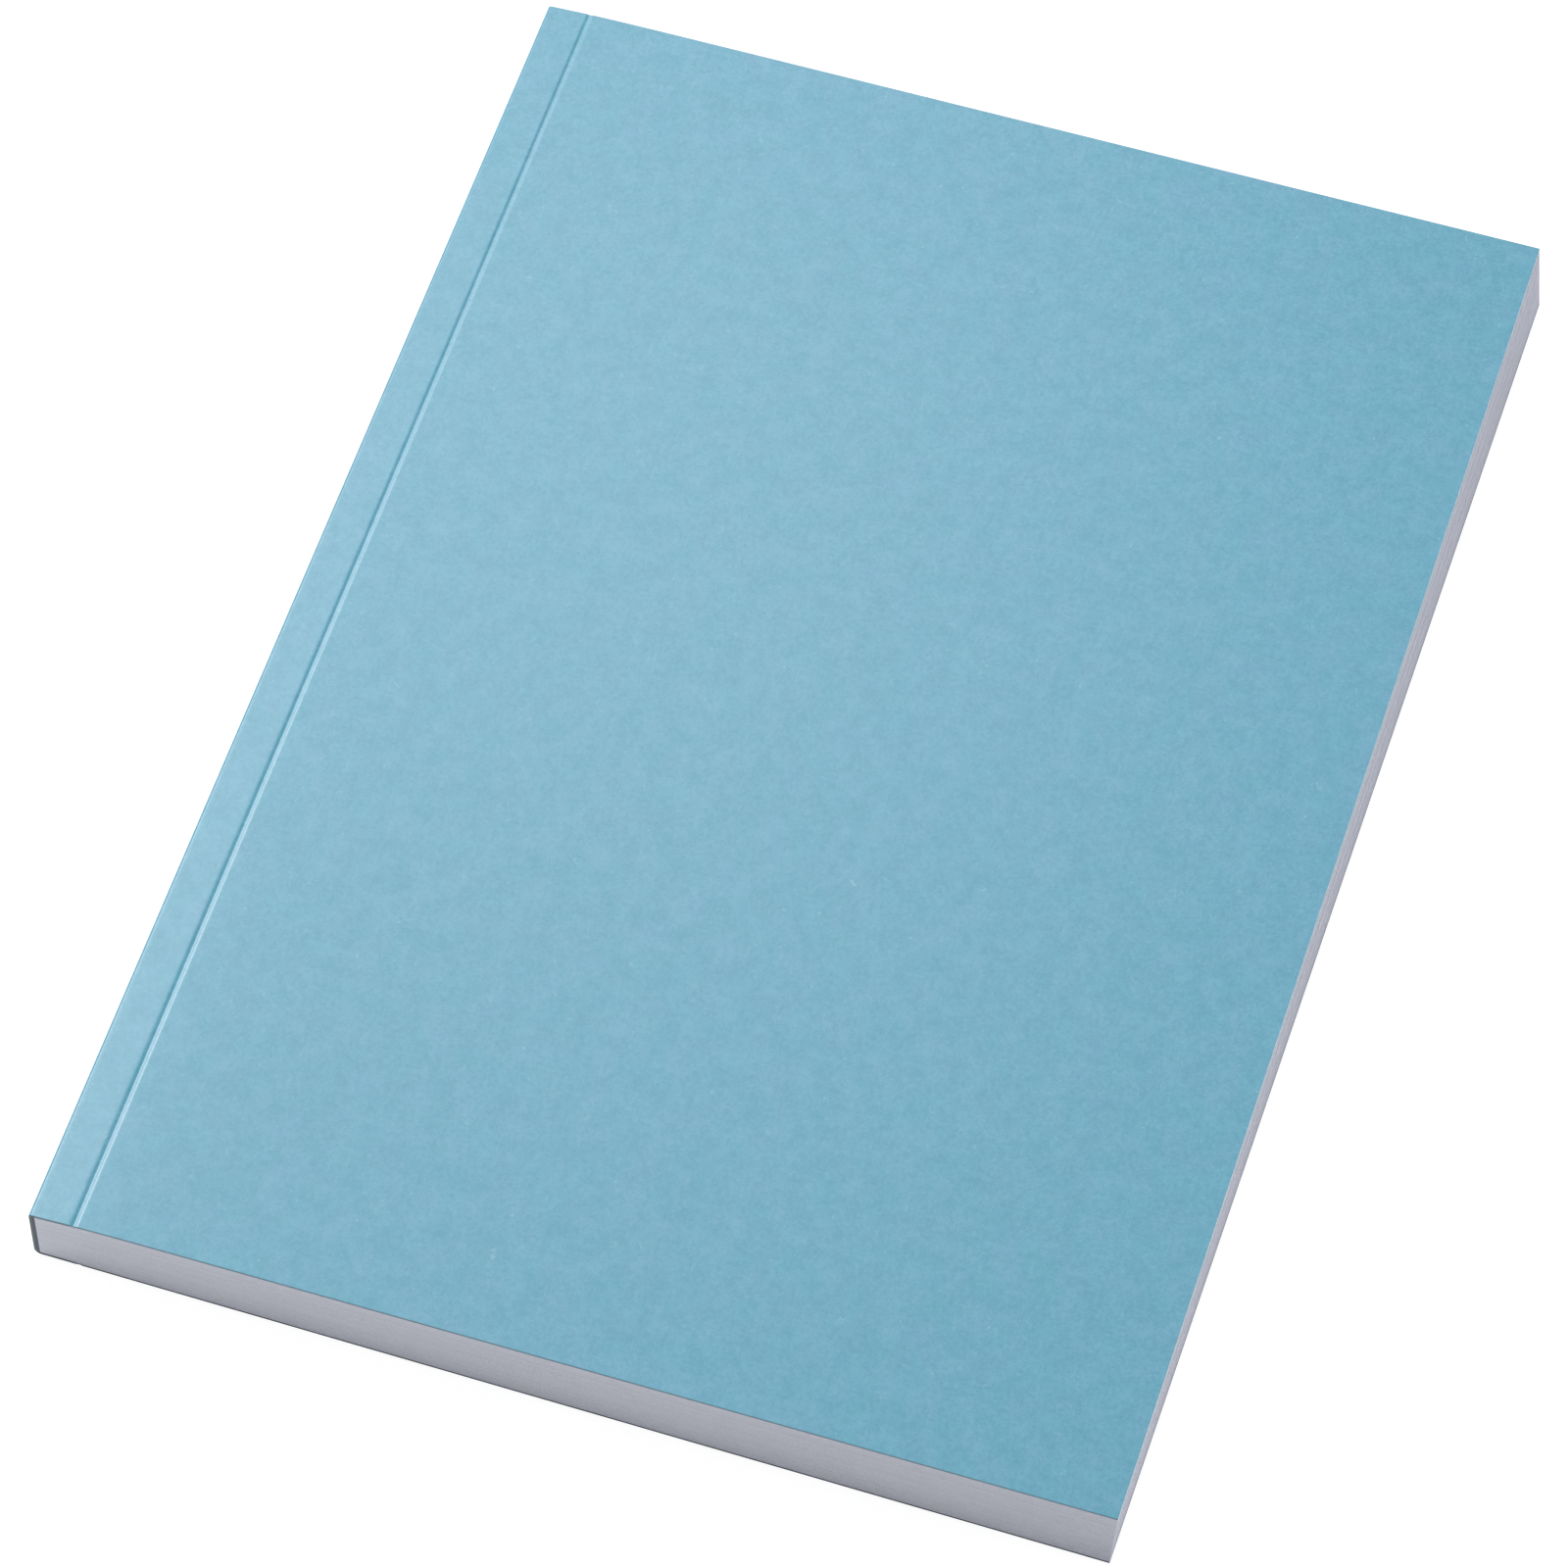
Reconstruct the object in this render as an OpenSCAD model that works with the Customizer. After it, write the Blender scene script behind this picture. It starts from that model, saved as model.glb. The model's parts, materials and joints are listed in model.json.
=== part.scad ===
// Softcover notebook, lying flat on its back cover.
// A pile of leaves is glued into one folded sheet of card. Both covers open along a pressed score.
// Frame in millimetres: +X from spine to fore edge, +Y from tail to head, +Z up.
// The origin is at the middle of the footprint, on the surface that the back cover lies on.

/* [Page size] */
// Width of the front cover, from the outside of the spine to the fore edge
cover_w = 148; // [100:1:220]
// Height of the covers and leaves, from tail to head
cover_h = 210; // [120:1:300]

/* [Thickness] */
// Thickness over both covers at the spine
spine_t = 10.2; // [7:0.2:30]
// Swell of the leaves just past the glued edge
swell = 0.5; // [0:0.1:1.2]
// Distance from the spine over which that swell builds up
swell_run = 6; // [4:0.5:15]
// Further rise from the spine to the fore edge, from air between the leaves
fan_rise = 2.2; // [0:0.1:3]

/* [Cover card] */
// Thickness of the card
card_t = 0.35; // [0.25:0.05:0.45]
// Outer radius of the fold between spine and front cover
front_fold_r = 0.5; // [0.5:0.1:1]
// Outer radius of the fold between spine and back cover
back_fold_r = 1; // [0.6:0.1:1.1]

/* [Hinge scores] */
// Distance of both scores from the outside of the spine
score_x = 6.3; // [4:0.1:9]
// Width of a score at the surface of the card
score_w = 1.4; // [0.6:0.1:1.8]
// Depth of a score
score_depth = 0.2; // [0.05:0.05:0.25]
// Slit at the bottom of a score, where strip and cover part
slit = 0.1; // [0.06:0.02:0.2]

/* [Binding glue] */
// Thickness of the glue between the leaves and the spine
spine_glue_t = 0.45; // [0.35:0.05:0.8]
// Thickness of the glue film under each strip beside the spine
side_glue_t = 0.1; // [0.06:0.02:0.2]
// Distance from the side glue's edge to the middle of the score
side_glue_margin = 0.6; // [0.2:0.1:1.5]

/* [Trim] */
// How far the foot of the pile stands out past the front cover's fore edge at the head
foot_head = 1.1; // [0:0.1:2]
// How far the foot of the pile falls short of the front cover's fore edge at the tail
foot_tail = 0.6; // [0:0.1:2]

/* [Hidden] */
$fn = 64;
card_blue = [0.37, 0.60, 0.70];
page_white = [0.93, 0.93, 0.92];
glue_grey = [0.26, 0.30, 0.40];
// Straight pieces that the curve of the front cover is drawn with
cover_steps = 14;
// Rings along the trimmed fore edge, which is slightly twisted
trim_rings = 12;
// Room by which a cutting shape passes the faces that it cuts
past = 1;
spine_x = -(cover_w + foot_head) / 2;
tail_y = -cover_h / 2;
score_z = top_z(score_x);
strip_slope = atan((score_z - spine_t) / score_x);
leaf_x = card_t + spine_glue_t;
film_x = score_x - side_glue_margin;
// Radius of the round tool whose edge presses a score of this width and depth
score_r = (score_w * score_w / 4 + score_depth * score_depth) / (2 * score_depth);
score_tool_lift = score_r - score_depth;

// Height of the front cover's outer face over the curved part, x from the spine
function top_z(x) = spine_t + swell * (1 - exp(-x / swell_run)) + fan_rise * x / cover_w;

// Height of the glued strip's outer face, which is flat from the spine to the score
function strip_z(x) = spine_t + (score_z - spine_t) * x / score_x;

// Points of the front cover's curve from score to fore edge, closer together near the score
function cover_curve(drop) = [
    for (i = [0:cover_steps])
        let (x = score_x + (cover_w - score_x) * pow(i / cover_steps, 2))
        [x, top_z(x) - drop]
];

// Points in the opposite order
function reversed(points) = [for (i = [len(points) - 1:-1:0]) points[i]];

// Shift of the foot of the pile at the fore edge, y from the tail
function foot_shift(y) = -foot_tail + (foot_head + foot_tail) * y / cover_h;

// A section drawn from spine to fore edge, made as long as the cover is high
module along_spine() {
    translate([spine_x, cover_h / 2, 0])
        rotate([90, 0, 0])
            linear_extrude(cover_h)
                children();
}

// The space inside the folded card over the strips, set in from the card's outer face
module strip_section(inset) {
    front_r = front_fold_r - inset;
    back_r = back_fold_r - inset;
    fold_z = spine_t - inset + front_fold_r * tan(strip_slope) - front_r / cos(strip_slope);
    round_x = front_fold_r - front_r * sin(strip_slope);
    round_z = fold_z + front_r * cos(strip_slope);
    polygon([
        [back_fold_r, inset],
        [score_x, inset],
        [score_x, strip_z(score_x) - inset],
        [round_x, round_z],
        [inset, fold_z],
        [inset, back_fold_r]
    ]);
    translate([front_fold_r, fold_z])
        circle(front_r);
    translate([back_fold_r, back_fold_r])
        circle(back_r);
}

// A score in a face at that height: the round-bottomed groove, and the slit that parts the card
module score(z, side) {
    translate([score_x, z + side * score_tool_lift])
        circle(score_r);
    translate([score_x - slit / 2, z - card_t - past])
        square([slit, 2 * (card_t + past)]);
}

// The card from score to score: both glued strips and the spine with its two folds
module spine_wrap() {
    color(card_blue)
        along_spine()
            difference() {
                strip_section(0);
                strip_section(card_t);
                score(score_z, 1);
                score(0, -1);
            }
}

// The front panel of the card, curved over the pile of leaves
module front_cover() {
    color(card_blue)
        along_spine()
            difference() {
                polygon(concat(cover_curve(card_t), reversed(cover_curve(0))));
                score(score_z, 1);
            }
}

// The back panel of the card, trimmed a little askew at the fore edge
module back_cover() {
    color(card_blue)
        difference() {
            translate([spine_x, tail_y, 0])
                linear_extrude(card_t)
                    polygon([
                        [score_x, 0],
                        [cover_w + foot_shift(0), 0],
                        [cover_w + foot_shift(cover_h), cover_h],
                        [score_x, cover_h]
                    ]);
            along_spine()
                score(0, -1);
        }
}

// Where the leaves lie between the glue films, drawn past the films' edge
module glued_leaves_section() {
    polygon([
        [leaf_x, card_t + side_glue_t],
        [film_x + past, card_t + side_glue_t],
        [film_x + past, strip_z(film_x + past) - card_t - side_glue_t],
        [leaf_x, strip_z(leaf_x) - card_t - side_glue_t]
    ]);
}

// The glue that holds the leaves: a layer along the spine and a thin film under each strip
module spine_adhesive() {
    color(glue_grey)
        along_spine()
            difference() {
                intersection() {
                    strip_section(card_t);
                    square([film_x, score_z + past]);
                }
                glued_leaves_section();
            }
}

// One section of the trimmed pile of leaves from the spine on, y from the tail
function leaf_ring(y) = concat(
    [[0, card_t], [cover_w + foot_shift(y), card_t]],
    reversed(cover_curve(card_t)),
    [[0, strip_z(0) - card_t]]
);

// The pile of leaves, lofted from tail to head through sections whose foot shifts
module leaf_pile() {
    rings = [for (j = [0:trim_rings]) leaf_ring(cover_h * j / trim_rings)];
    sides = len(rings[0]);
    points = [
        for (j = [0:trim_rings])
            for (p = rings[j])
                [spine_x + p[0], tail_y + cover_h * j / trim_rings, p[1]]
    ];
    tail_face = [for (i = [sides - 1:-1:0]) i];
    head_face = [for (i = [0:sides - 1]) trim_rings * sides + i];
    walls = [
        for (j = [0:trim_rings - 1])
            for (i = [0:sides - 1])
                let (next = (i + 1) % sides)
                [j * sides + i, j * sides + next, (j + 1) * sides + next, (j + 1) * sides + i]
    ];
    polyhedron(points = points, faces = concat([tail_face, head_face], walls), convexity = 4);
}

// All leaves as one block, cut back where the glue lies along the spine and under the strips
module page_block() {
    color(page_white)
        difference() {
            leaf_pile();
            along_spine()
                difference() {
                    translate([-past, 0])
                        square([film_x + past, score_z + past]);
                    glued_leaves_section();
                }
        }
}

back_cover();
page_block();
spine_adhesive();
spine_wrap();
front_cover();
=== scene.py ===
# %% [markdown]
# # A softcover notebook
# The notebook is a pile of white leaves glued into one folded sheet of light blue card. It lies flat
# on its back cover. This lesson dresses the construction model: the sheet of card with its folds and
# pressed scores, the binding glue, the leaves, and the light that shows them.
#
# The construction model comes first, as a fixed frame. Everything below is in metres, in its
# coordinates: +X runs from the spine to the fore edge, +Y from the tail to the head, +Z up.

# %% Load the frame
import json
import math

import bmesh
import bpy
import numpy as np
from mathutils import Matrix, Vector


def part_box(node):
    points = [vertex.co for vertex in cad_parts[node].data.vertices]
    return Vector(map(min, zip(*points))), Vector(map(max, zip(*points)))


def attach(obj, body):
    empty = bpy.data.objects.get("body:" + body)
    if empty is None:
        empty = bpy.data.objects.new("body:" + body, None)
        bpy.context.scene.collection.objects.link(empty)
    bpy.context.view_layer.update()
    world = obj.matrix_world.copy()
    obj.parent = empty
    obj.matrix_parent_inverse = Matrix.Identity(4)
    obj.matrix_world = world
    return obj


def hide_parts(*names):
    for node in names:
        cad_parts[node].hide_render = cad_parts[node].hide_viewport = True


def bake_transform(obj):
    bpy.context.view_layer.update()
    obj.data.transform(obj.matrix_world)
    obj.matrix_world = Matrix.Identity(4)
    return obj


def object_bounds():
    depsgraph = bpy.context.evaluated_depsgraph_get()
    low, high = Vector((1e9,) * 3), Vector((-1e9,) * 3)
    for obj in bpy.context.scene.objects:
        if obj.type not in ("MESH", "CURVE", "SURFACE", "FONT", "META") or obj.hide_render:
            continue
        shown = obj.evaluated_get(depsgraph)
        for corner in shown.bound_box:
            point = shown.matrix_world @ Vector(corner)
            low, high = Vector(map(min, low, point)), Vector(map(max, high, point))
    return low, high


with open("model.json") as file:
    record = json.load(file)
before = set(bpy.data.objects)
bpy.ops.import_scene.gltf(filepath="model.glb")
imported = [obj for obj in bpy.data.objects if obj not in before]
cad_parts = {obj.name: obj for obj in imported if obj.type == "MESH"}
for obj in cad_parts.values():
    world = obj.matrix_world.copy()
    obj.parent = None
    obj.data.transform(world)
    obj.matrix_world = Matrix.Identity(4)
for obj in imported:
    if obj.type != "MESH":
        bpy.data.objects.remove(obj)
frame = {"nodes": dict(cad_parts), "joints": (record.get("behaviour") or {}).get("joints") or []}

cad_low, cad_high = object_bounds()
MM = 0.001
print("construction model, mm:", [round(side / MM, 2) for side in cad_high - cad_low])

# %% [markdown]
# ## Sizes
# Most sizes are read from the frame, so that the card, glue and leaves fit it without any measuring
# by eye. The boxes of the parts give the outline and the thickness of the card. The two hinges lie on
# the middle of the scores. A few sizes that no box can tell, such as the radius of a fold, are written
# here once. For the score, the spread says how gently its walls fall, and the reach how far from its
# middle it is drawn. The seam is where the two pieces of card meet, under the notebook.

# %% Read the sizes
card_low, card_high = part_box("back_cover")
panel_low, panel_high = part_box("front_cover")
leaves_low, leaves_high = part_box("page_block")
glue_low, glue_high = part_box("spine_adhesive")
hinge_at = {joint["name"]: Vector(joint["pos_m"]) for joint in frame["joints"]}

SPINE_X = cad_low.x
TAIL_Y = cad_low.y
HEAD_Y = cad_high.y
CARD_T = card_high.z - card_low.z
COVER_W = panel_high.x - SPINE_X
COVER_H = HEAD_Y - TAIL_Y
SCORE_X = hinge_at["front_hinge"].x - SPINE_X
SCORE_Z = hinge_at["front_hinge"].z
FORE_Z = panel_high.z
LEAF_X = leaves_low.x - SPINE_X
FILM_X = glue_high.x - SPINE_X
FOOT_HEAD = card_high.x - panel_high.x

SPINE_T = 10.2 * MM
SWELL_RUN = 6 * MM
FRONT_FOLD_R = 0.5 * MM
BACK_FOLD_R = 1 * MM
SCORE_W = 1.4 * MM
SCORE_DEPTH = 0.135 * MM
SCORE_SPREAD = 0.25 * MM
SCORE_REACH = 1.1 * MM
SEAM_X = SCORE_X - 2 * MM
SIDE_GLUE_T = 0.1 * MM
FOOT_TAIL = 0.6 * MM
CUT_ROUNDING = 0.03 * MM
print("card, mm:", round(CARD_T / MM, 2), "score from the spine, mm:", round(SCORE_X / MM, 2))

# %% [markdown]
# ## The curve of the front cover
# The leaves are pressed together where they are glued, swell just past the glue, and fan out a little
# towards the fore edge because of the air between them. The front cover lies on them and follows that
# curve. It is an exponential swell and a straight rise, and the two amounts are solved from the
# heights of the frame at the score and at the fore edge. The spread from the frame's own outline is
# printed, as a test.

# %% The height of the cover
def swell_share(x):
    return 1 - np.exp(-np.asarray(x, float) / SWELL_RUN)


law = np.array([[swell_share(SCORE_X), SCORE_X / COVER_W], [swell_share(COVER_W), 1.0]])
SWELL, FAN_RISE = np.linalg.solve(law, [SCORE_Z - SPINE_T, FORE_Z - SPINE_T])
STRIP_SLOPE = math.atan2(SCORE_Z - SPINE_T, SCORE_X)


def curve_height(x):
    return SPINE_T + SWELL * swell_share(x) + FAN_RISE * np.asarray(x, float) / COVER_W


def strip_height(x):
    return SPINE_T + math.tan(STRIP_SLOPE) * np.asarray(x, float)


def cover_height(x):
    return np.minimum(curve_height(x), strip_height(x))


def foot_shift(y):
    return -FOOT_TAIL + (FOOT_HEAD + FOOT_TAIL) * (y - TAIL_Y) / COVER_H


outline = np.array([v.co for v in frame["nodes"]["front_cover"].data.vertices])
clear_of_score = outline[:, 0] - SPINE_X > SCORE_X + SCORE_W
off = cover_height(outline[clear_of_score, 0] - SPINE_X) - outline[clear_of_score, 2]
off = np.minimum(abs(off), abs(off - CARD_T))
print("swell and rise, mm:", round(SWELL / MM, 2), round(FAN_RISE / MM, 2))
print("off the frame by, mm:", round(off.max() / MM, 3))

# %% [markdown]
# ## The camera
# The photograph was taken with a long lens from the tail's side, above the fore edge. Its place was
# solved from the edges of the cover, so the picture can be laid over the photograph. The camera aims at
# a point near the middle of the notebook and is rolled by a fraction of a degree.

# %% Place the camera
CAMERA_PLACE = Vector((0.16072, -0.51954, 0.85338))
CAMERA_AIM = Vector((-0.00162, -0.01012, 0.008))
CAMERA_ROLL = math.radians(0.229)
LENS_MM = 169.44
SENSOR_MM = 36

camera_data = bpy.data.cameras.new("camera")
camera_data.sensor_width = SENSOR_MM
camera_data.lens = LENS_MM
camera_data.clip_start = 0.05
camera_data.clip_end = 20
camera = bpy.data.objects.new("camera", camera_data)
bpy.context.collection.objects.link(camera)
aim = (CAMERA_AIM - CAMERA_PLACE).to_track_quat("-Z", "Y").to_matrix().to_4x4()
camera.matrix_world = Matrix.Translation(CAMERA_PLACE) @ aim @ Matrix.Rotation(CAMERA_ROLL, 4, "Z")
bpy.context.scene.camera = camera
print("camera to notebook, m:", round((CAMERA_AIM - CAMERA_PLACE).length, 3))

# %% [markdown]
# ## Building materials from nodes
# Every finish here is procedural. A small helper adds a node, sets its plain values and links its
# inputs in one line, so each finish below reads as a short recipe. The texture recipes share two more
# helpers: one for arithmetic and one for mixing two colours.

# %% Node helpers
def add_node(tree, kind, inputs=None, **settings):
    node = tree.nodes.new(kind)
    for name, value in settings.items():
        setattr(node, name, value)
    for name, value in (inputs or {}).items():
        if isinstance(value, bpy.types.NodeSocket):
            tree.links.new(value, node.inputs[name])
        else:
            node.inputs[name].default_value = value
    return node


def math_of(tree, operation, *values):
    node = add_node(tree, "ShaderNodeMath", dict(enumerate(values)), operation=operation)
    return node.outputs[0]


def remap(tree, value, low, high, to_low, to_high):
    wanted = {"Value": value, "From Min": low, "From Max": high, "To Min": to_low, "To Max": to_high}
    return add_node(tree, "ShaderNodeMapRange", wanted).outputs["Result"]


def mix_colours(tree, share, first, second, blend="MIX"):
    node = add_node(tree, "ShaderNodeMix", data_type="RGBA", blend_type=blend)
    for socket, value in ((node.inputs[0], share), (node.inputs[6], first), (node.inputs[7], second)):
        if isinstance(value, bpy.types.NodeSocket):
            tree.links.new(value, socket)
        else:
            socket.default_value = value
    return node.outputs[2]


def noise(tree, place, scale, detail, roughness=0.6, distortion=0.0):
    wanted = {
        "Vector": place, "Scale": scale, "Detail": detail,
        "Roughness": roughness, "Distortion": distortion,
    }
    return add_node(tree, "ShaderNodeTexNoise", wanted).outputs["Fac"]


def new_finish(name):
    finish = bpy.data.materials.new(name)
    finish.use_nodes = True
    finish.node_tree.nodes.clear()
    return finish, finish.node_tree


def close_finish(tree, shader):
    add_node(tree, "ShaderNodeOutputMaterial", {"Surface": shader.outputs[0]})


print("helpers for the finishes are ready")

# %% [markdown]
# ## The colour of the card
# The cover is uncoated card, dyed through. Up close it looks felted: light and dark patches of every
# size from half a millimetre to a centimetre, and none of them strong. Two noises whose octaves are all
# equally loud give that, one for the coarse patches and one for the fine ones. A slow noise turns the
# blue a little greener or bluer, as uneven dye does. Short curled fibres took less dye, and there are a
# few pale and dark flecks.
#
# The pattern lies in the sheet, so it reads the card's own map, which is the sheet unrolled, in metres.
# So a scale below is the number of details to a metre. A curled fibre is a line where a noise passes
# through its middle value, cut short by a second noise.

# %% Describe the card's colour
DEEP_CARD = (0.058, 0.262, 0.370, 1)
PALE_CARD = (0.098, 0.318, 0.436, 1)
GREENER = (0.92, 1.00, 0.99, 1)
BLUER = (1.08, 1.00, 1.01, 1)
PALE_FIBRE = (0.36, 0.58, 0.68, 1)
DARK_FLECK = (0.05, 0.20, 0.30, 1)
FELT = {"scale": 290, "detail": 4, "roughness": 1.0}
FINE_FELT = {"scale": 1400, "detail": 2, "roughness": 1.0}
FINE_SHARE = 0.36
DRIFT = {"scale": 220, "detail": 1}
FIBRES = {"scale": 620, "width": 0.010, "kept": 0.58}
PALE_FLECKS = {"scale": 620, "radius": 0.16, "kept": 0.10}
DARK_FLECKS = {"scale": 480, "radius": 0.14, "kept": 0.06}
FIBRE_SHARE = 0.22
PALE_SHARE = 0.26
DARK_SHARE = 0.30


def flecks(tree, place, scale, radius, kept):
    cells = add_node(tree, "ShaderNodeTexVoronoi", {"Vector": place, "Scale": scale})
    near = remap(tree, cells.outputs["Distance"], radius, radius * 0.4, 0, 1)
    chosen = math_of(tree, "GREATER_THAN", cells.outputs["Color"], 1 - kept)
    return math_of(tree, "MULTIPLY", near, chosen)


def curled_fibres(tree, place, scale, width, kept):
    height = noise(tree, place, scale, 1, 0.5, 1.2)
    off_line = math_of(tree, "ABSOLUTE", math_of(tree, "SUBTRACT", height, 0.5))
    line = remap(tree, off_line, width, width * 0.3, 0, 1)
    place_mask = noise(tree, place, scale * 0.8, 1, 0.5)
    mask = remap(tree, place_mask, kept, kept + 0.04, 0, 1)
    return math_of(tree, "MULTIPLY", line, mask)


def card_colour(tree, place):
    coarse = remap(tree, noise(tree, place, **FELT), 0.35, 0.65, 0, 1)
    fine = remap(tree, noise(tree, place, **FINE_FELT), 0.3, 0.7, -FINE_SHARE, FINE_SHARE)
    colour = mix_colours(tree, math_of(tree, "ADD", coarse, fine), DEEP_CARD, PALE_CARD)
    drift = remap(tree, noise(tree, place, **DRIFT), 0.35, 0.65, 0, 1)
    colour = mix_colours(tree, 1.0, colour, mix_colours(tree, drift, GREENER, BLUER), "MULTIPLY")
    marks = (
        (curled_fibres(tree, place, **FIBRES), FIBRE_SHARE, PALE_FIBRE),
        (flecks(tree, place, **PALE_FLECKS), PALE_SHARE, PALE_FIBRE),
        (flecks(tree, place, **DARK_FLECKS), DARK_SHARE, DARK_FLECK),
    )
    for where, share, mark_colour in marks:
        colour = mix_colours(tree, math_of(tree, "MULTIPLY", where, share), colour, mark_colour)
    return colour


print("patches to a metre:", FELT["scale"], "coarse,", FINE_FELT["scale"], "fine")

# %% [markdown]
# ## The finish of the card
# The colour above covers the faces of the sheet. The guillotine leaves four kinds of cut face. The
# front cover's cut at the fore edge is polished, and its pale colour is partly its own and partly a
# painted highlight, for the glint on its edge. At tail and head the cut is a darker blue, and round the
# spine it is darker still. The back cover's cut, down by the table, is painted nearly black and gets
# hardly any shine: a painted contact shadow. Each cut face carries the number of its kind as an
# attribute of the mesh, and a colour ramp with constant steps turns the number into a colour.
#
# The relief is a fine grain, a little longer from tail to head, which is the way the fibres run.

# %% Make the card's finish
# The pale fore colour is partly a painted highlight; the near-black colour of the back cover's cut is a
# painted contact shadow.
CUT_COLOURS = {
    "fore": (0.72, 0.86, 0.96, 1),
    "end": (0.10, 0.21, 0.27, 1),
    "spine": (0.045, 0.085, 0.085, 1),
    "foot": (0.02, 0.03, 0.06, 1),
}
CUT_NUMBERS = {kind: (place + 1) / len(CUT_COLOURS) for place, kind in enumerate(CUT_COLOURS)}
CUT_MARGIN = 0.1
GRAIN = {"scale": 2000, "detail": 2, "roughness": 1.0}
GRAIN_STRETCH = 0.85
GRAIN_DEPTH = 0.03 * MM
GRAIN_STRENGTH = 0.25
CARD_ROUGHNESS = 0.38
POLISHED_ROUGHNESS = 0.23
CARD_SHINE = 0.575
PAINTED_SHADOW_SHINE = 0.05


def cut_colour(tree, kind):
    ramp = add_node(tree, "ShaderNodeValToRGB", {"Fac": kind})
    ramp.color_ramp.interpolation = "CONSTANT"
    stops = ramp.color_ramp.elements
    while len(stops) < len(CUT_COLOURS):
        stops.new(1.0)
    for stop, (kind_of_cut, colour) in zip(stops, CUT_COLOURS.items()):
        stop.position = CUT_NUMBERS[kind_of_cut] - CUT_MARGIN
        stop.color = colour
    return ramp.outputs["Color"]


def make_card_finish():
    finish, tree = new_finish("blue_card")
    sheet = add_node(tree, "ShaderNodeUVMap", uv_map="sheet").outputs["UV"]
    stretched = {"Vector": sheet, "Scale": (1, GRAIN_STRETCH, 1)}
    place = add_node(tree, "ShaderNodeMapping", stretched).outputs[0]
    cut = add_node(tree, "ShaderNodeAttribute", attribute_name="cut").outputs["Fac"]
    is_cut = math_of(tree, "GREATER_THAN", cut, CUT_MARGIN)
    up_to_fore = math_of(tree, "LESS_THAN", cut, CUT_NUMBERS["fore"] + CUT_MARGIN / 2)
    is_fore = math_of(tree, "MULTIPLY", is_cut, up_to_fore)
    foot = CUT_NUMBERS["foot"]
    bump = add_node(tree, "ShaderNodeBump", {
        "Height": noise(tree, place, **GRAIN), "Strength": GRAIN_STRENGTH, "Distance": GRAIN_DEPTH,
    })
    # The back cover's cut gets hardly any shine, so its painted contact shadow stays dark.
    shader = add_node(tree, "ShaderNodeBsdfPrincipled", {
        "Base Color": mix_colours(tree, is_cut, card_colour(tree, place), cut_colour(tree, cut)),
        "Roughness": remap(tree, is_fore, 0, 1, CARD_ROUGHNESS, POLISHED_ROUGHNESS),
        "Specular IOR Level": remap(tree, cut, foot - CUT_MARGIN, foot, CARD_SHINE, PAINTED_SHADOW_SHINE),
        "Normal": bump.outputs["Normal"],
    })
    close_finish(tree, shader)
    return finish


blue_card = make_card_finish()
print("finish:", blue_card.name, "with", len(blue_card.node_tree.nodes), "nodes")

# %% [markdown]
# ## The finishes of the leaves and of the glue
# The leaves are smooth white writing paper with a trace of blue in it. Seen from the side, no two
# leaves are quite as bright, so each leaf carries its own tone as an attribute. One noise adds the
# tooth of the paper, and a second the clouds where its fibres lie thicker. The binding glue is a
# slightly shiny layer with soft ripples. Its near-black colour is partly its own and partly painted
# shade, for the narrow gap between the card and the leaves where it shows.

# %% Make the paper's and the glue's finish
PAPER_COLOUR = (0.785, 0.80, 0.89, 1)
PAPER_TOOTH = {"scale": 3500, "detail": 2, "roughness": 0.6}
PAPER_CLOUDS = {"scale": 260, "detail": 2, "roughness": 0.6}
# Nearly black: partly the glue's own colour, partly painted shade of the narrow gap it fills.
GLUE_AND_SHADE_COLOUR = (0.030, 0.045, 0.085, 1)
GLUE_RIPPLE = {"scale": 900, "detail": 3, "roughness": 0.5}


def make_paper_finish():
    finish, tree = new_finish("white_paper")
    place = add_node(tree, "ShaderNodeTexCoord").outputs["Object"]
    tooth = noise(tree, place, **PAPER_TOOTH)
    clouds = noise(tree, place, **PAPER_CLOUDS)
    leaf_tone = add_node(tree, "ShaderNodeAttribute", attribute_name="leaf_tone").outputs["Fac"]
    tone = math_of(tree, "ADD", leaf_tone, remap(tree, tooth, 0.3, 0.7, -0.012, 0.012))
    tone = math_of(tree, "ADD", tone, remap(tree, clouds, 0.3, 0.7, -0.008, 0.008))
    grey = add_node(tree, "ShaderNodeCombineColor", {"Red": tone, "Green": tone, "Blue": tone})
    colour = mix_colours(tree, 1.0, PAPER_COLOUR, grey.outputs[0], "MULTIPLY")
    bump = add_node(tree, "ShaderNodeBump", {"Height": tooth, "Strength": 0.4, "Distance": 0.01 * MM})
    shader = add_node(tree, "ShaderNodeBsdfPrincipled", {
        "Base Color": colour, "Roughness": 0.75, "Normal": bump.outputs["Normal"],
        "Specular IOR Level": 0.3,
    })
    close_finish(tree, shader)
    return finish


def scaled(colour, factor):
    return tuple(part * factor for part in colour[:3]) + (1,)


def make_glue_finish():
    finish, tree = new_finish("binding_glue")
    place = add_node(tree, "ShaderNodeTexCoord").outputs["Object"]
    ripple = noise(tree, place, **GLUE_RIPPLE)
    colour = mix_colours(tree, ripple, scaled(GLUE_AND_SHADE_COLOUR, 0.8), scaled(GLUE_AND_SHADE_COLOUR, 1.25))
    bump = add_node(tree, "ShaderNodeBump", {"Height": ripple, "Strength": 0.5, "Distance": 0.05 * MM})
    shader = add_node(tree, "ShaderNodeBsdfPrincipled", {
        "Base Color": colour, "Roughness": 0.45, "Normal": bump.outputs["Normal"],
    })
    close_finish(tree, shader)
    return finish


white_paper = make_paper_finish()
binding_glue = make_glue_finish()
print("finishes:", white_paper.name, binding_glue.name)

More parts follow.
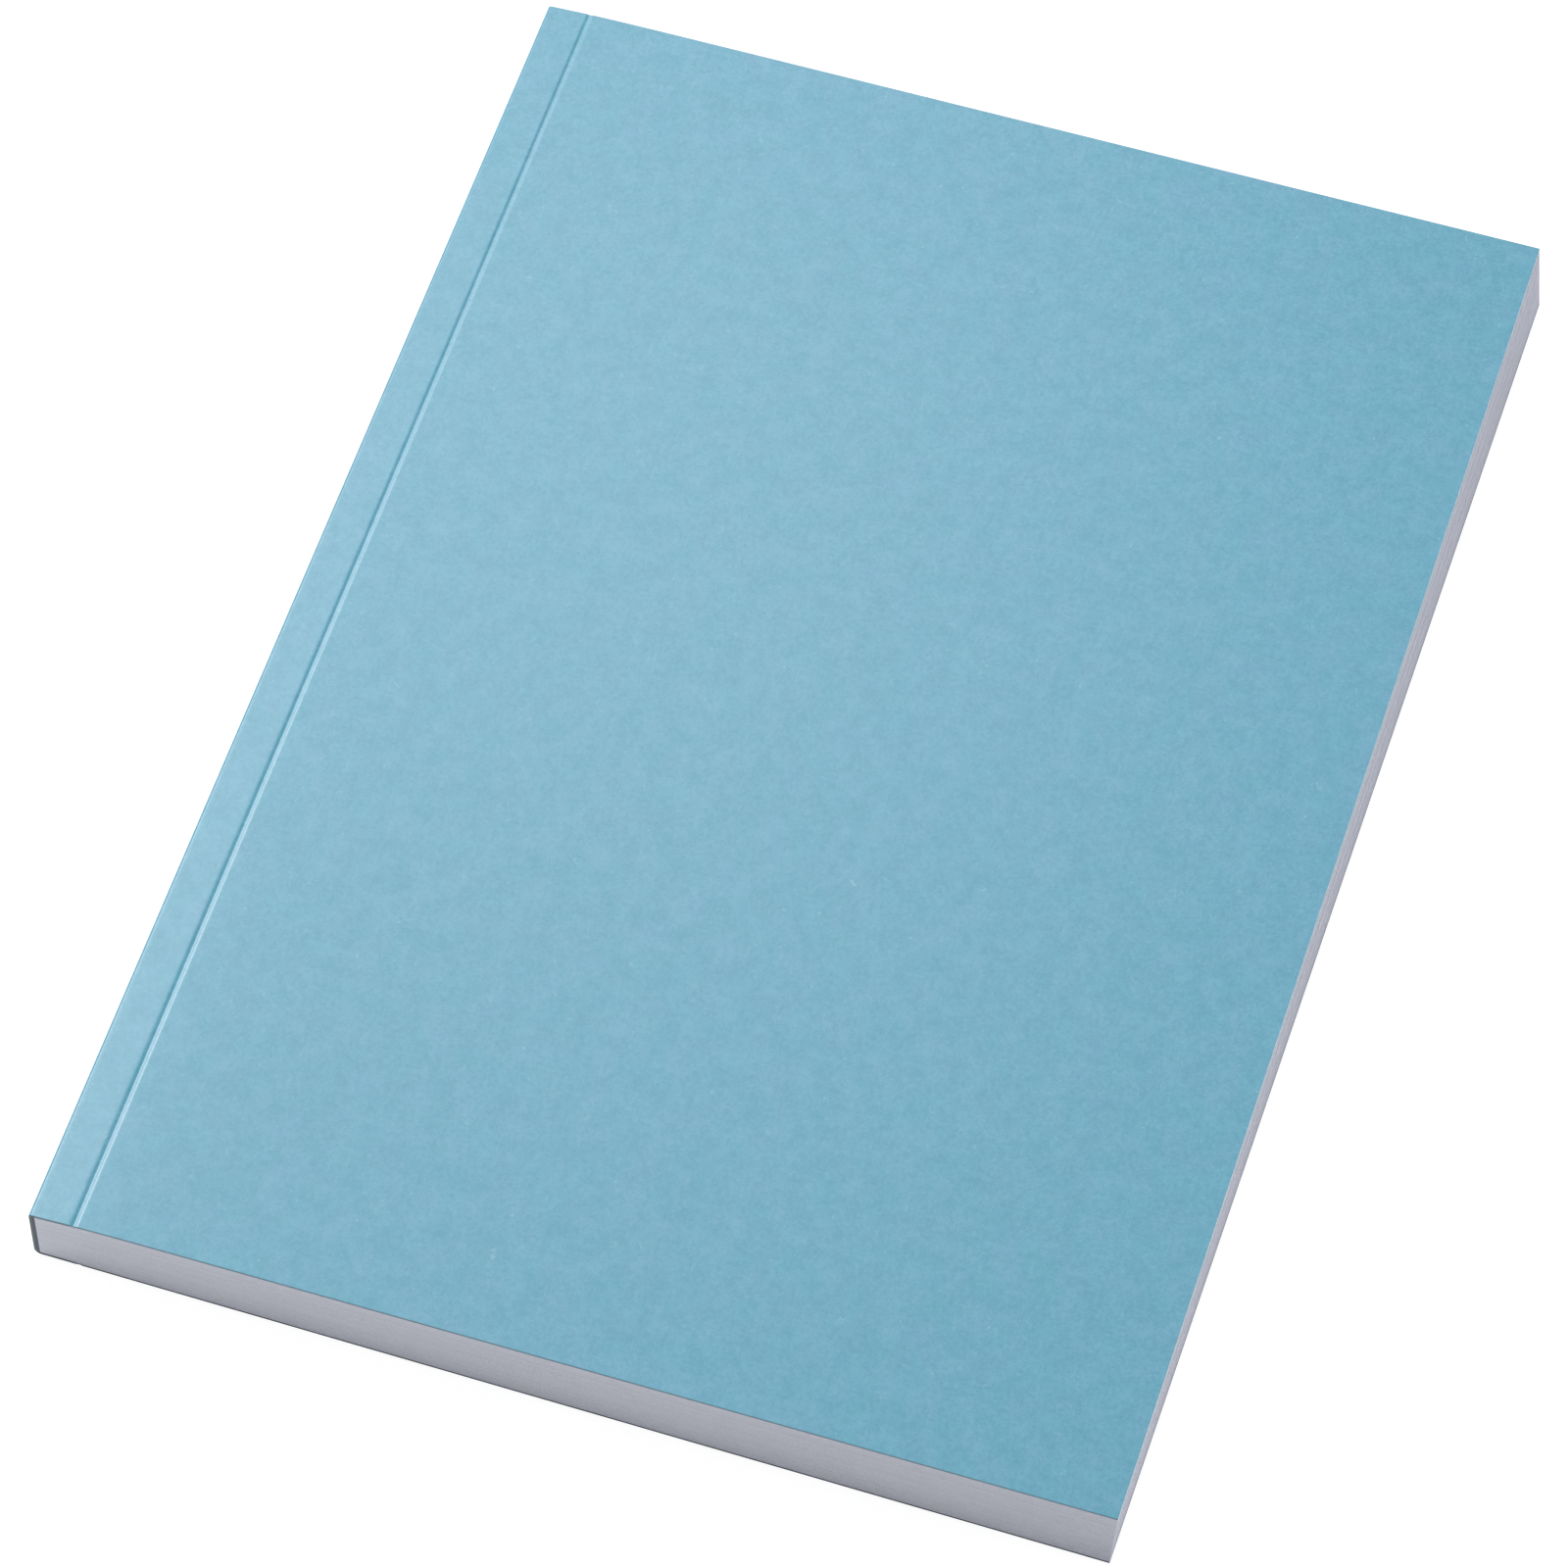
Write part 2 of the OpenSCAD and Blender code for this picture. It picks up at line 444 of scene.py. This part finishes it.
# %% [markdown]
# ## A sheet from its section
# The card is the same all along the spine, so it is drawn once in section and then run from tail to
# head. The section is two lines of points that run side by side: the outer face and the inner face.
# Each row below holds one pair. Straight stretches need only their ends, and the folds are arcs round
# a shared centre, so the thickness stays true round the bend.
#
# The score is a groove with a bell-shaped profile. A round-edged tool pressed it, and the fibres of the
# card drew its rims in softly. It is a little shallower than in the construction model, because a
# deeper one would show darker in this light than it does in the photograph.

# %% Draw the stretches of the section
def stretch(x_values, outer_z, inner_z):
    x = np.asarray(x_values, float)
    return np.column_stack([x, outer_z(x), x, inner_z(x)])


def fold(centre, radius, from_angle, to_angle, steps=12):
    angle = np.radians(np.linspace(from_angle, to_angle, steps + 1))
    round_way = np.column_stack([np.cos(angle), np.sin(angle)])
    outer = np.array(centre) + radius * round_way
    inner = np.array(centre) + (radius - CARD_T) * round_way
    return np.hstack([outer, inner])


def score_cut(x):
    return SCORE_DEPTH * np.exp(-((np.asarray(x, float) - SCORE_X) / SCORE_SPREAD) ** 2 / 2)


def panel_points(from_x, to_x, steps):
    return from_x + (to_x - from_x) * np.linspace(0, 1, steps + 1) ** 2


score_points = np.linspace(SCORE_X - SCORE_REACH, SCORE_X + SCORE_REACH, 33)
print("points across a score:", len(score_points))

# %% [markdown]
# The front piece starts under the notebook, just before the back score, and runs round both folds,
# over the glued strip and its score, and on to the fore edge. The back piece takes over at that seam
# and crosses the back score. So each piece crosses one hinge only, and the seam lies underneath, where
# the strip is glued down.

# %% Draw both sections
PAST_FOLD = 0.5 * MM
BEFORE_SCORE = 0.2 * MM
BEFORE_BACK_SCORE = 0.1 * MM


def front_section():
    fold_z = SPINE_T + FRONT_FOLD_R * (math.tan(STRIP_SLOPE) - 1 / math.cos(STRIP_SLOPE))
    strip_turn = 90 + math.degrees(STRIP_SLOPE)
    strip_from = FRONT_FOLD_R * (1 - math.sin(STRIP_SLOPE))
    rows = [
        stretch([SEAM_X, BACK_FOLD_R * 1.6], lambda x: 0 * x, lambda x: 0 * x + CARD_T),
        fold((BACK_FOLD_R, BACK_FOLD_R), BACK_FOLD_R, 270, 180),
        fold((FRONT_FOLD_R, fold_z), FRONT_FOLD_R, 180, strip_turn),
        stretch(
            [strip_from + PAST_FOLD, (strip_from + SCORE_X) / 2, SCORE_X - SCORE_REACH - BEFORE_SCORE],
            cover_height, lambda x: cover_height(x) - CARD_T,
        ),
        stretch(
            score_points, lambda x: cover_height(x) - score_cut(x), lambda x: cover_height(x) - CARD_T,
        ),
        stretch(
            panel_points(SCORE_X + SCORE_REACH, COVER_W, 40)[1:],
            cover_height, lambda x: cover_height(x) - CARD_T,
        ),
    ]
    return np.vstack(rows)


def back_section():
    panel = np.linspace(SCORE_X + SCORE_REACH, COVER_W, 13)[1:]
    strip = [SEAM_X, SCORE_X - SCORE_REACH - BEFORE_BACK_SCORE]
    rows = [
        stretch(strip, lambda x: 0 * x, lambda x: 0 * x + CARD_T),
        stretch(score_points, score_cut, lambda x: 0 * x + CARD_T),
        stretch(panel, lambda x: 0 * x, lambda x: 0 * x + CARD_T),
    ]
    return np.vstack(rows)


front_rows = front_section()
back_rows = back_section()
print("points in section:", len(front_rows), "front,", len(back_rows), "back")

# %% [markdown]
# ## From section to mesh
# The section is repeated at a few stations from tail to head and joined by quads. Four kinds of face
# close it: outer, inner, the cut faces at tail and head, and the two ends of the section. Each corner
# gets its place on the unrolled sheet, so the pattern of the card runs on round the folds. Each cut
# face is marked with the number of its kind, which the finish reads.

# %% Build a sheet
FOOT_BELOW_Z = 0.2 * MM
SPINE_BEFORE_X = 0.6 * MM


def unrolled(rows):
    steps = np.linalg.norm(np.diff(rows[:, :2], axis=0), axis=1)
    return np.concatenate([[0], np.cumsum(steps)])


def cut_number(row, at_fore=False):
    outer_x, outer_z = row[:2]
    # Cut faces down by the table get the near-black painted contact shadow.
    if outer_z < FOOT_BELOW_Z:
        return CUT_NUMBERS["foot"]
    if at_fore:
        return CUT_NUMBERS["fore"]
    return CUT_NUMBERS["spine" if outer_x < SPINE_BEFORE_X else "end"]


def build_sheet(name, rows, stations, shift, sheet_from):
    along = unrolled(rows) + sheet_from
    count = len(rows)
    mesh = bpy.data.meshes.new(name)
    bm = bmesh.new()
    grid = []
    for y in stations:
        outer = [bm.verts.new((SPINE_X + r[0] + shift(r[0], y), y, r[1])) for r in rows]
        inner = [bm.verts.new((SPINE_X + r[2] + shift(r[2], y), y, r[3])) for r in rows]
        grid.append((outer, inner))
    uv = bm.loops.layers.uv.new("sheet")
    cut = bm.faces.layers.float.new("cut")

    def face(corners, places, kind):
        made = bm.faces.new(corners)
        made[cut] = kind
        for loop, place in zip(made.loops, places):
            loop[uv].uv = place

    for j in range(len(stations) - 1):
        y0, y1 = stations[j], stations[j + 1]
        for side in (0, 1):
            low, high = grid[j][side], grid[j + 1][side]
            for i in range(count - 1):
                places = [(along[i], y0), (along[i + 1], y0), (along[i + 1], y1), (along[i], y1)]
                face([low[i], low[i + 1], high[i + 1], high[i]], places, 0)
        for i in (0, count - 1):
            corners = [grid[j][0][i], grid[j][1][i], grid[j + 1][1][i], grid[j + 1][0][i]]
            reach = along[i] + (CARD_T if i else -CARD_T)
            places = [(along[i], y0), (reach, y0), (reach, y1), (along[i], y1)]
            face(corners, places, cut_number(rows[i], at_fore=i > 0))
    for j, past in ((0, -CARD_T), (len(stations) - 1, CARD_T)):
        outer, inner = grid[j]
        y = stations[j]
        for i in range(count - 1):
            places = [(along[i], y), (along[i + 1], y), (along[i + 1], y + past), (along[i], y + past)]
            face([outer[i], outer[i + 1], inner[i + 1], inner[i]], places, cut_number(rows[i]))
    bmesh.ops.recalc_face_normals(bm, faces=bm.faces)
    bm.to_mesh(mesh)
    bm.free()
    piece = bpy.data.objects.new(name, mesh)
    bpy.context.collection.objects.link(piece)
    return piece, along[-1]


stations = np.linspace(TAIL_Y, HEAD_Y, 22)
cover_front, sheet_end = build_sheet("cover_front", front_rows, stations, lambda x, y: 0.0, 0.0)
print(cover_front.name, "faces:", len(cover_front.data.polygons), "sheet, mm:", round(sheet_end / MM, 1))

# %% [markdown]
# The back panel was trimmed a little askew: its fore edge stands out at the head and falls short at
# the tail. Its points move in X by a share of that shift, none at the score and all of it at the fore
# edge. Both pieces get a tiny rounding on their cut edges, because a guillotine never leaves a
# perfectly sharp one. The faces are then shaded as smooth, except across the cut edges. The back piece
# starts at another place on the sheet, so that its pattern doesn't repeat the front's.

# %% Build the back piece and finish both
BACK_SHEET_FROM = 0.4


def soften_edges(piece, width, above_degrees=50):
    bevel = piece.modifiers.new("soften", "BEVEL")
    bevel.width = width
    bevel.segments = 2
    bevel.limit_method = "ANGLE"
    bevel.angle_limit = math.radians(above_degrees)
    bevel.harden_normals = False
    made = bpy.data.meshes.new_from_object(piece.evaluated_get(bpy.context.evaluated_depsgraph_get()))
    piece.modifiers.clear()
    piece.data = made


def smooth_but_for_cuts(piece, degrees=18):
    piece.data.shade_smooth()
    piece.data.set_sharp_from_angle(angle=math.radians(degrees))


def back_shift(x, y):
    share = max(0.0, (x - SCORE_X) / (COVER_W - SCORE_X))
    return share * foot_shift(y)


cover_back, _ = build_sheet("cover_back", back_rows, stations, back_shift, BACK_SHEET_FROM)
for piece in (cover_front, cover_back):
    soften_edges(piece, CUT_ROUNDING)
    smooth_but_for_cuts(piece)
    piece.data.materials.append(blue_card)
    print(piece.name, "faces:", len(piece.data.polygons))

# %% [markdown]
# ## The binding glue
# The glue fills the room between the leaves' spine edge and the card, and runs a few millimetres under
# each strip as a thin film. Its outer line is the card's inner line, point for point. Its inner line
# is that same line pushed in to where the leaves begin.

# %% Build the glue
def glue_section():
    inside = front_rows[:, 2:]
    keep = (inside[:, 0] <= FILM_X) & (inside[:, 0] >= CARD_T * 0.99)
    line = inside[keep]
    bottom_end = [FILM_X, CARD_T]
    top_end = [FILM_X, float(cover_height(FILM_X)) - CARD_T]
    line = np.vstack([bottom_end, line[line[:, 0] < FILM_X], top_end])
    x = np.maximum(line[:, 0], LEAF_X)
    z = np.clip(line[:, 1], CARD_T + SIDE_GLUE_T, cover_height(x) - CARD_T - SIDE_GLUE_T)
    return np.column_stack([line, x, z])


def build_glue():
    piece, _ = build_sheet("spine_glue", glue_section(), [TAIL_Y, HEAD_Y], lambda x, y: 0.0, 0.0)
    bm = bmesh.new()
    bm.from_mesh(piece.data)
    bmesh.ops.remove_doubles(bm, verts=bm.verts, dist=0.001 * MM)
    bmesh.ops.recalc_face_normals(bm, faces=bm.faces)
    bm.to_mesh(piece.data)
    bm.free()
    smooth_but_for_cuts(piece)
    piece.data.materials.append(binding_glue)
    return piece


spine_glue = build_glue()
print(spine_glue.name, "faces:", len(spine_glue.data.polygons))

# %% [markdown]
# ## The leaves
# Nearly a hundred thin sheets lie on each other, all made by one rule, which is a task for Geometry
# Nodes. One flat box with a row of cuts along it is set down once for each leaf. Its number in the
# pile then decides where it goes: low leaves lie flat on the back cover, high ones follow the curve of
# the front cover, and each is trimmed a few hundredths of a millimetre longer or shorter than the next.
# The leaves keep one thickness, so the air between them grows towards the fore edge. At the spine they
# are pressed so close that they fill the room but for a trace.

# %% Describe the tree of the leaves
LEAVES = 94
PRESSED = 0.995
LEAF_T = PRESSED * (SPINE_T - 2 * CARD_T - 2 * SIDE_GLUE_T) / LEAVES
POINTS_ACROSS = 30
LEAF_INPUTS = {
    "Leaves": LEAVES, "Leaf thickness": LEAF_T, "Spine edge": LEAF_X, "Fore edge": COVER_W,
    "Card": CARD_T, "Side glue": SIDE_GLUE_T, "Glue edge": FILM_X, "Spine height": SPINE_T,
    "Swell": float(SWELL), "Swell run": SWELL_RUN, "Rise": float(FAN_RISE),
    "Strip slope": math.tan(STRIP_SLOPE), "Foot at tail": -FOOT_TAIL, "Foot at head": FOOT_HEAD,
    "Trim spread": 0.02 * MM, "Tone spread": 0.04, "Seed": 7,
}


def leaf_tree(finish):
    tree = bpy.data.node_groups.new("pile_of_leaves", "GeometryNodeTree")
    for name, value in LEAF_INPUTS.items():
        kind = "NodeSocketInt" if isinstance(value, int) else "NodeSocketFloat"
        tree.interface.new_socket(name=name, in_out="INPUT", socket_type=kind)
    tree.interface.new_socket(name="Leaves made", in_out="OUTPUT", socket_type="NodeSocketGeometry")
    given = tree.nodes.new("NodeGroupInput").outputs

    def calc(operation, *values):
        return math_of(tree, operation, *values)

    def spread(name, amount):
        wanted = {2: calc("MULTIPLY", amount, -1.0), 3: amount, "ID": number, "Seed": name}
        return add_node(tree, "FunctionNodeRandomValue", wanted).outputs[1]

    # One flat box for each leaf, all in the same place, numbered
    points = add_node(tree, "GeometryNodeMeshLine", {"Count": given["Leaves"], "Offset": (0, 0, 0)})
    box = add_node(tree, "GeometryNodeMeshCube", {
        "Size": (1, 1, 1), "Vertices X": POINTS_ACROSS, "Vertices Y": 2, "Vertices Z": 2,
    })
    index = add_node(tree, "GeometryNodeInputIndex").outputs[0]
    number_points = add_node(tree, "GeometryNodeStoreNamedAttribute", {
        "Geometry": points.outputs[0], "Name": "number", "Value": index,
    }, data_type="FLOAT", domain="POINT")
    boxes = add_node(tree, "GeometryNodeInstanceOnPoints", {
        "Points": number_points.outputs[0], "Instance": box.outputs[0],
    })
    real = add_node(tree, "GeometryNodeRealizeInstances", {"Geometry": boxes.outputs[0]})
    wanted = {"Name": "number"}
    number = add_node(tree, "GeometryNodeInputNamedAttribute", wanted, data_type="FLOAT").outputs[0]

    # Place in the box: across from spine to fore edge, along from tail to head, up through the leaf
    position = add_node(tree, "GeometryNodeInputPosition").outputs[0]
    here = add_node(tree, "ShaderNodeSeparateXYZ", {0: position})
    across = calc("POWER", calc("ADD", here.outputs[0], 0.5), 2.0)
    along = calc("ADD", here.outputs[1], 0.5)
    through = here.outputs[2]
    share = calc("DIVIDE", calc("ADD", number, 0.5), given["Leaves"])

    # From the spine to a fore edge that is askew at the foot of the pile and straight at its top
    askew = calc("SUBTRACT", given["Foot at head"], given["Foot at tail"])
    skew = calc("ADD", given["Foot at tail"], calc("MULTIPLY", along, askew))
    skew = calc("MULTIPLY", skew, calc("SUBTRACT", 1.0, share))
    trim = spread(calc("ADD", given["Seed"], 1.0), given["Trim spread"])
    width = calc("SUBTRACT", given["Fore edge"], given["Spine edge"])
    width = calc("ADD", calc("ADD", width, skew), calc("SUBTRACT", trim, given["Trim spread"]))
    x = calc("ADD", given["Spine edge"], calc("MULTIPLY", across, width))

    # The room for the leaves: over the back cover, under the front cover, thinner where the glue lies
    runs = calc("MULTIPLY", calc("DIVIDE", x, given["Swell run"]), -1.0)
    swell = calc("MULTIPLY", given["Swell"], calc("SUBTRACT", 1.0, calc("EXPONENT", runs)))
    rise = calc("MULTIPLY", given["Rise"], calc("DIVIDE", x, given["Fore edge"]))
    strip = calc("MULTIPLY", x, given["Strip slope"])
    top = calc("ADD", given["Spine height"], calc("MINIMUM", calc("ADD", swell, rise), strip))
    film_wanted = {
        "Value": x, "From Min": given["Glue edge"], "From Max": calc("ADD", given["Glue edge"], 1 * MM),
        "To Min": given["Side glue"], "To Max": 0.0,
    }
    film_edge = add_node(tree, "ShaderNodeMapRange", film_wanted, interpolation_type="SMOOTHSTEP")
    film = film_edge.outputs["Result"]
    bottom = calc("ADD", given["Card"], film)
    room = calc("SUBTRACT", calc("SUBTRACT", top, given["Card"]), calc("ADD", film, bottom))
    z = calc("ADD", bottom, calc("MULTIPLY", room, share))
    z = calc("ADD", z, calc("MULTIPLY", through, given["Leaf thickness"]))

    # From tail to head, each leaf cut a trace shorter or longer
    end_trim = spread(calc("ADD", given["Seed"], 2.0), given["Trim spread"])
    length = calc("ADD", COVER_H, calc("SUBTRACT", end_trim, given["Trim spread"]))
    y = calc("MULTIPLY", here.outputs[1], length)

    place = add_node(tree, "ShaderNodeCombineXYZ", {0: calc("ADD", x, SPINE_X), 1: y, 2: z}).outputs[0]
    placed = add_node(tree, "GeometryNodeSetPosition", {"Geometry": real.outputs[0], "Position": place})
    tone = calc("ADD", spread(given["Seed"], given["Tone spread"]), 1.0)
    toned = add_node(tree, "GeometryNodeStoreNamedAttribute", {
        "Geometry": placed.outputs[0], "Name": "leaf_tone", "Value": tone,
    }, data_type="FLOAT", domain="POINT")
    wanted = {"Geometry": toned.outputs[0], "Material": finish}
    dressed = add_node(tree, "GeometryNodeSetMaterial", wanted)
    add_node(tree, "NodeGroupOutput", {0: dressed.outputs[0]})
    return tree


pile_tree = leaf_tree(white_paper)
print("tree:", pile_tree.name, "with", len(pile_tree.nodes), "nodes")

# %% [markdown]
# The tree is run by a modifier on an empty mesh. Its inputs are set by their identifiers before the
# first evaluation, and the result is then kept as a plain mesh without any modifier, because that is
# what an exported model can carry.

# %% Run the tree
def run_tree(name, tree, inputs):
    piece = bpy.data.objects.new(name, bpy.data.meshes.new(name))
    bpy.context.collection.objects.link(piece)
    modifier = piece.modifiers.new("make", "NODES")
    modifier.node_group = tree
    for item in tree.interface.items_tree:
        if item.item_type == "SOCKET" and item.in_out == "INPUT":
            modifier[item.identifier] = inputs[item.name]
    bpy.context.view_layer.update()
    made = bpy.data.meshes.new_from_object(piece.evaluated_get(bpy.context.evaluated_depsgraph_get()))
    piece.modifiers.clear()
    piece.data = made
    return piece


leaves = run_tree("leaves", pile_tree, LEAF_INPUTS)
leaves.data.attributes.remove(leaves.data.attributes["number"])
smooth_but_for_cuts(leaves)
leaf_points = np.array([v.co for v in leaves.data.vertices])
print(leaves.name, "faces:", len(leaves.data.polygons))
print("pile, mm:", round(np.ptp(leaf_points[:, 2]) / MM, 2))

# %% [markdown]
# ## Riding the frame
# Leaves and glue are tied to the body of the frame that carries them, so they stay together. The two
# pieces of card are left where they are, with their transforms applied. The parts of the construction
# model are hidden.

# %% Tie the pieces to the frame
def bend_at_score(piece):
    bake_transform(piece)


bend_at_score(cover_front)
bend_at_score(cover_back)
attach(leaves, "block")
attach(spine_glue, "block")
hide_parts("front_cover", "spine_wrap")
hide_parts("back_cover")
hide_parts("page_block")
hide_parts("spine_adhesive")

# %% [markdown]
# ## The table top
# The notebook lies on a plain white surface. To the camera and in reflections the floor is white, as in
# the photograph, with a soft shadow: it shines a little by itself and reflects the rest. To every other
# ray it is just a white matt surface, so it throws light back up at the edges of the leaves, as a table
# does.

# %% Make the floor
FLOOR_HALF = 3.0
FLOOR_DROP = 0.05 * MM
FLOOR_GLOW = 0.90
SEEN_GREY = (0.25, 0.25, 0.25, 1)
MATT_WHITE = (0.80, 0.80, 0.80, 1)


def seen_directly(tree):
    path = add_node(tree, "ShaderNodeLightPath")
    mirrored = math_of(tree, "MAXIMUM", path.outputs["Is Glossy Ray"], path.outputs["Is Transmission Ray"])
    return math_of(tree, "MAXIMUM", path.outputs["Is Camera Ray"], mirrored)


def make_floor_finish():
    finish, tree = new_finish("white_floor")
    seen = add_node(tree, "ShaderNodeBsdfDiffuse", {"Color": SEEN_GREY})
    glow = add_node(tree, "ShaderNodeEmission", {"Color": (1, 1, 1, 1), "Strength": FLOOR_GLOW})
    shown = add_node(tree, "ShaderNodeAddShader", {0: seen.outputs[0], 1: glow.outputs[0]})
    other = add_node(tree, "ShaderNodeBsdfDiffuse", {"Color": MATT_WHITE})
    mixed = add_node(tree, "ShaderNodeMixShader", {
        0: seen_directly(tree), 1: other.outputs[0], 2: shown.outputs[0],
    })
    close_finish(tree, mixed)
    return finish


floor_mesh = bpy.data.meshes.new("floor")
signs = ((-1, -1), (1, -1), (1, 1), (-1, 1))
corners = [(sx * FLOOR_HALF, sy * FLOOR_HALF, -FLOOR_DROP) for sx, sy in signs]
floor_mesh.from_pydata(corners, [], [(0, 1, 2, 3)])
floor = bpy.data.objects.new("floor", floor_mesh)
bpy.context.collection.objects.link(floor)
floor.data.materials.append(make_floor_finish())
print("floor, m:", 2 * FLOOR_HALF)

# %% [markdown]
# ## The lamps
# A wide soft lamp behind the head, to the left, lights the notebook. The camera looks almost into its
# reflection on the spine's side of the cover, so a faint veil of sheen lies there and fades towards the
# fore edge, as in the photograph. The same lamp shows the pressed score, because one wall of the groove
# faces it and the other turns away. A small weak lamp nearer the head draws the veil out towards that
# side. A third one, low on the right, keeps the trimmed leaves at the fore edge from going grey.
#
# A lamp's level is the brightness that it gives to white matt paper facing it, whatever its distance.

# %% Set the lamps
LAMP_AIM = Vector((0, 0, 0))
LAMPS = (
    ("main_light", (-1.54, 1.01, 1.83), 0.8, 0.78),
    ("sheen_light", (-0.37, 0.90, 1.33), 0.25, 0.15),
    ("fill_light", (1.60, 0.10, 0.60), 0.8, 0.19),
)


def soft_light(name, place, size, level):
    data = bpy.data.lights.new(name, "AREA")
    data.shape = "DISK"
    data.size = size
    way = LAMP_AIM - Vector(place)
    data.energy = level * math.pi ** 2 * way.length ** 2
    lamp = bpy.data.objects.new(name, data)
    bpy.context.collection.objects.link(lamp)
    lamp.matrix_world = Matrix.Translation(place) @ way.to_track_quat("-Z", "Y").to_matrix().to_4x4()
    print(name, "level", level, "at", [round(part, 2) for part in place])


for name, place, size, level in LAMPS:
    soft_light(name, place, size, level)

# %% [markdown]
# ## The even light
# The rest is even light from all round, as a white room throws back. The camera and reflections see
# plain white instead, so the background stays white whatever the level of the even light.

# %% Set the even light
EVEN_LEVEL = 0.39
EVEN_COLOUR = (0.97, 0.98, 1.0, 1)


def make_world():
    world = bpy.data.worlds.new("studio")
    world.use_nodes = True
    tree = world.node_tree
    tree.nodes.clear()
    even = add_node(tree, "ShaderNodeBackground", {"Color": EVEN_COLOUR, "Strength": EVEN_LEVEL})
    white = add_node(tree, "ShaderNodeBackground", {"Color": (1, 1, 1, 1), "Strength": 1.0})
    mixed = add_node(tree, "ShaderNodeMixShader", {
        0: seen_directly(tree), 1: even.outputs[0], 2: white.outputs[0],
    })
    add_node(tree, "ShaderNodeOutputWorld", {"Surface": mixed.outputs[0]})
    return world


bpy.context.scene.world = make_world()
bpy.context.scene.view_settings.view_transform = "Standard"
print("even light:", EVEN_LEVEL)
